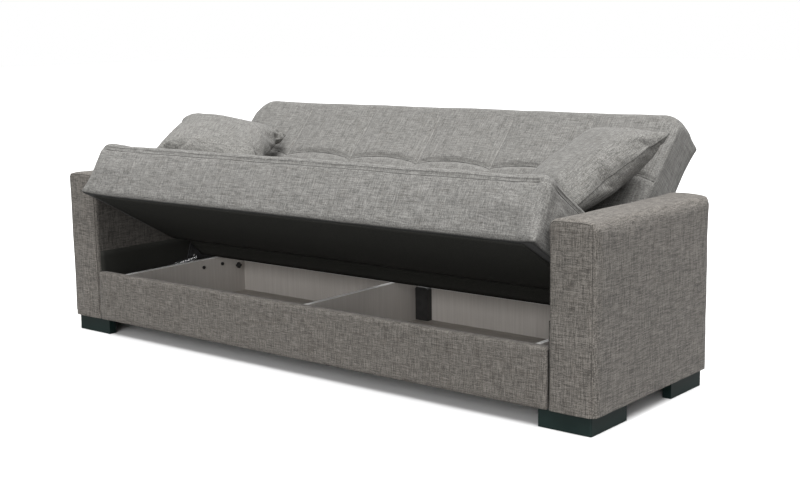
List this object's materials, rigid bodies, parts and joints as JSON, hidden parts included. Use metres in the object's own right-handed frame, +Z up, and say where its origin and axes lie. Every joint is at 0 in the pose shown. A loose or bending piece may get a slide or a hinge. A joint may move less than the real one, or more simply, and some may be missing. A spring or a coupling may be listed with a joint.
{
  "type": "storage sofa bed",
  "caption": "Fabric sofa bed with block arms, a seat that lifts over a divided storage box, a sewn back on ratchet hinges, corner feet and loose scatter pillows.",
  "frame": {"origin": "on the floor below the middle of the open sofa's bounding box", "axes": "+X along the width towards the sitter's left arm seen from the front right, +Y from front to rear, +Z up"},
  "size_m": [2.2, 0.9533, 0.8017],
  "materials": {
    "grey_linen_fabric": "heathered woven linen look",
    "black_cloth": "thin non-woven cloth",
    "frame_board": "raw board",
    "laminate_board": "light grey-beige laminate with a faint grain",
    "box_floor_board": "plain thin board",
    "dark_gloss_feet": "gloss green-black",
    "hinge_steel": "satin zinc",
    "bright_steel": "bright",
    "blackened_steel": "black oxide",
    "black_plastic": "matte",
    "white_edge_band": "satin"
  },
  "bodies": {
    "base": {"right_arm_cover": "grey_linen_fabric", "left_arm_cover": "grey_linen_fabric", "front_rail_cover": "grey_linen_fabric", "right_arm_lining": "black_cloth", "left_arm_lining": "black_cloth", "right_arm_frame": "frame_board", "left_arm_frame": "frame_board", "front_rail_board": "frame_board", "right_box_panel": "laminate_board", "left_box_panel": "laminate_board", "box_divider": "laminate_board", "box_back_panel": "laminate_board", "right_box_floor": "box_floor_board", "left_box_floor": "box_floor_board", "right_front_foot": "dark_gloss_feet", "left_front_foot": "dark_gloss_feet", "right_rear_foot": "dark_gloss_feet", "left_rear_foot": "dark_gloss_feet", "right_hinge_plate": "hinge_steel", "left_hinge_plate": "hinge_steel", "pivot_spacers": "hinge_steel", "arm_bolt_tubes": "hinge_steel", "right_lift_spring": "bright_steel", "left_lift_spring": "bright_steel", "pivot_pins": "bright_steel", "base_spring_pins": "bright_steel", "foot_screws": "bright_steel", "arm_nuts": "bright_steel", "arm_bolts": "blackened_steel", "arm_knobs": "black_plastic", "divider_post": "black_plastic", "box_edge_bands": "white_edge_band"},
    "seat": {"seat_cushion": "grey_linen_fabric", "seat_frame": "frame_board", "seat_webbing": "black_cloth", "seat_dust_cover": "black_cloth", "right_seat_arm": "hinge_steel", "left_seat_arm": "hinge_steel", "seat_arm_sleeves": "hinge_steel", "seat_arm_bolts": "bright_steel", "seat_spring_pins": "bright_steel"},
    "back": {"back_cushion": "grey_linen_fabric", "back_frame": "frame_board", "back_webbing": "black_cloth", "back_foot_cover": "black_cloth", "right_back_arm": "hinge_steel", "left_back_arm": "hinge_steel", "back_arm_bolts": "bright_steel", "pawl_pins": "bright_steel"},
    "left_pawl": {"left_pawl": "hinge_steel"},
    "right_pawl": {"right_pawl": "hinge_steel"},
    "left_pillow": {"left_pillow": "grey_linen_fabric"},
    "right_pillow": {"right_pillow": "grey_linen_fabric"}
  },
  "joints": [
    {"name": "seat_lift", "type": "hinge", "parent": "base", "child": "seat", "pos_m": [0, 0.06095, 0.313], "axis": [-1, 0, 0], "range_deg": [-29, 0], "deforming": ["right_lift_spring", "left_lift_spring"]},
    {"name": "back_recline", "type": "hinge", "parent": "seat", "child": "back", "pos_m": [0, 0.06095, 0.313], "axis": [-1, 0, 0], "range_deg": [0, 75]},
    {"name": "left_pawl_lift", "type": "hinge", "parent": "back", "child": "left_pawl", "pos_m": [-0.9375, 0.11513, 0.36911], "axis": [1, 0, 0], "range_deg": [0, 12], "stiffness_Nm_per_rad": 0.2},
    {"name": "right_pawl_lift", "type": "hinge", "parent": "back", "child": "right_pawl", "pos_m": [0.9375, 0.11513, 0.36911], "axis": [1, 0, 0], "range_deg": [0, 12], "stiffness_Nm_per_rad": 0.2},
    {"name": "left_pillow_lift", "type": "slide", "parent": "seat", "child": "left_pillow", "axis": [0, 0, 1], "range_m": [0, 0.3]},
    {"name": "right_pillow_lift", "type": "slide", "parent": "seat", "child": "right_pillow", "axis": [0, 0, 1], "range_m": [0, 0.3]}
  ],
  "couplings": [
    {"joint": "right_pawl_lift", "follows": "left_pawl_lift", "ratio": 1}
  ]
}
